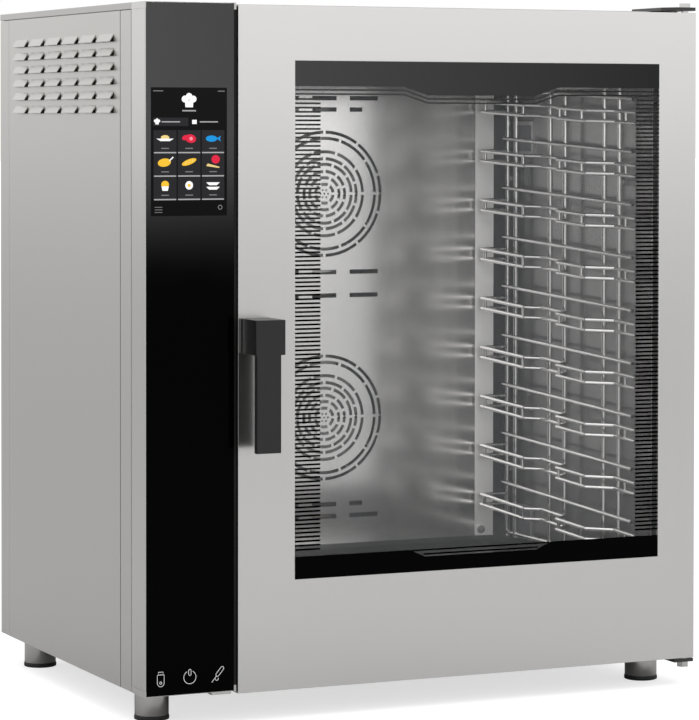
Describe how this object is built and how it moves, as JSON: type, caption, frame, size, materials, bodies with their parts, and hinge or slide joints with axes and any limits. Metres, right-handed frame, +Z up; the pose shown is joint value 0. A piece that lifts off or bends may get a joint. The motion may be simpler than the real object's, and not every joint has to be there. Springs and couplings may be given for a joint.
{
  "type": "combi steamer oven",
  "caption": "Floor or stand combi steamer oven with a glazed side-hung door, lever handle, touch control column, twin fans behind a slotted baffle and wire tray racks.",
  "frame": {"origin": "On the floor, under the middle of the oven's outer box.", "axes": "+Z up, +Y from the door to the back, +X to the right as seen from the front."},
  "size_m": [0.876, 0.776, 1.018],
  "materials": {
    "galvanised_sheet": "galvanised sheet",
    "side_steel": "fine brushed stainless",
    "roof_steel": "fine brushed stainless",
    "cover_steel": "plain stainless",
    "frame_steel": "brushed stainless",
    "keeper_steel": "plain steel",
    "chamber_steel": "polished stainless",
    "mineral_wool": "matted mineral wool",
    "gasket_silicone": "matte silicone",
    "baffle_steel": "polished stainless",
    "screw_steel": "bright steel",
    "element_steel": "heat-darkened tube",
    "tube_steel": "plain tube",
    "lamp_glass": "frosted",
    "lamp_rim": "polished",
    "rack_wire": "electropolished wire",
    "peg_steel": "plain",
    "strainer_steel": "plain",
    "pipe_plastic": "grey pipe",
    "vent_steel": "plain",
    "motor_paint": "semi-matte black",
    "wheel_steel": "stamped stainless",
    "shaft_steel": "ground",
    "column_steel": "brushed stainless",
    "panel_glass": "black printed glass",
    "screen_face": "display glass",
    "circuit_board": "board with blocks",
    "bracket_steel": "bright",
    "switch_plastic": "moulded",
    "valve_plastic": "moulded",
    "gland_plastic": "moulded",
    "door_steel": "vertical brushed stainless",
    "inner_frame_steel": "brushed stainless",
    "door_glass": "clear with black print",
    "seal_silicone": "matte",
    "inner_pane_glass": "clear",
    "bush_bronze": "sintered",
    "case_steel": "plain",
    "handle_plastic": "fine-grained black",
    "cam_steel": "plain",
    "hinge_paint": "black",
    "pin_steel": "bright steel",
    "foot_steel": "turned stainless",
    "sleeve_steel": "plain"
  },
  "bodies": {
    "cabinet": {"base_frame": "galvanised_sheet", "left_side_panel": "side_steel", "right_side_panel": "side_steel", "left_front_post": "side_steel", "rear_posts": "side_steel", "roof_panel": "roof_steel", "rear_panel": "galvanised_sheet", "rear_motor_cover": "cover_steel", "front_frame": "frame_steel", "strike_plate": "keeper_steel", "cavity_shell": "chamber_steel", "cavity_insulation": "mineral_wool", "door_gasket": "gasket_silicone", "fan_baffle": "baffle_steel", "baffle_screws": "screw_steel", "heating_elements": "element_steel", "water_injectors": "tube_steel", "lamp_glasses": "lamp_glass", "lamp_frames": "lamp_rim", "left_tray_rack": "rack_wire", "right_tray_rack": "rack_wire", "rack_pegs": "peg_steel", "drain_strainer": "strainer_steel", "drain_pipe": "pipe_plastic", "vent_pipe": "vent_steel", "fan_motors": "motor_paint", "control_column": "column_steel", "column_caps": "column_steel", "control_glass": "panel_glass", "touchscreen": "screen_face", "control_board": "circuit_board", "probe_bracket": "bracket_steel", "mounting_plate": "galvanised_sheet", "power_board": "circuit_board", "switchgear": "switch_plastic", "water_inlet_valves": "valve_plastic", "cable_gland": "gland_plastic", "rear_panel_screws": "screw_steel", "hinge_brackets": "hinge_paint", "hinge_pins": "pin_steel", "foot_sleeves": "sleeve_steel"},
    "door": {"door_skin": "door_steel", "door_inner_frame": "inner_frame_steel", "outer_glass": "door_glass", "window_seal": "seal_silicone", "inner_glass": "inner_pane_glass", "hinge_bushes": "bush_bronze", "latch_case": "case_steel"},
    "handle": {"handle_grip": "handle_plastic", "handle_spindle": "shaft_steel", "latch_cam": "cam_steel"},
    "fan_low": {"fan_wheel_low": "wheel_steel", "fan_shaft_low": "shaft_steel"},
    "fan_high": {"fan_wheel_high": "wheel_steel", "fan_shaft_high": "shaft_steel"},
    "foot_front_left": {"foot_front_left": "foot_steel"},
    "foot_front_right": {"foot_front_right": "foot_steel"},
    "foot_back_left": {"foot_back_left": "foot_steel"},
    "foot_back_right": {"foot_back_right": "foot_steel"}
  },
  "joints": [
    {"name": "door_swing", "type": "hinge", "parent": "cabinet", "child": "door", "pos_m": [0.426, -0.324, 0.515], "axis": [0, 0, 1], "range_deg": [0, 120]},
    {"name": "handle_turn", "type": "hinge", "parent": "door", "child": "handle", "pos_m": [-0.2668, -0.336, 0.5387], "axis": [0, -1, 0], "range_deg": [0, 90]},
    {"name": "fan_low_spin", "type": "hinge", "parent": "cabinet", "child": "fan_low", "pos_m": [0.068, 0.214, 0.368], "axis": [0, 1, 0], "continuous": true},
    {"name": "fan_high_spin", "type": "hinge", "parent": "cabinet", "child": "fan_high", "pos_m": [0.068, 0.214, 0.722], "axis": [0, 1, 0], "continuous": true},
    {"name": "foot_front_left_screw", "type": "slide", "parent": "cabinet", "child": "foot_front_left", "axis": [0, 0, -1], "range_m": [0, 0.02]},
    {"name": "foot_front_right_screw", "type": "slide", "parent": "cabinet", "child": "foot_front_right", "axis": [0, 0, -1], "range_m": [0, 0.02]},
    {"name": "foot_back_left_screw", "type": "slide", "parent": "cabinet", "child": "foot_back_left", "axis": [0, 0, -1], "range_m": [0, 0.02]},
    {"name": "foot_back_right_screw", "type": "slide", "parent": "cabinet", "child": "foot_back_right", "axis": [0, 0, -1], "range_m": [0, 0.02]}
  ]
}
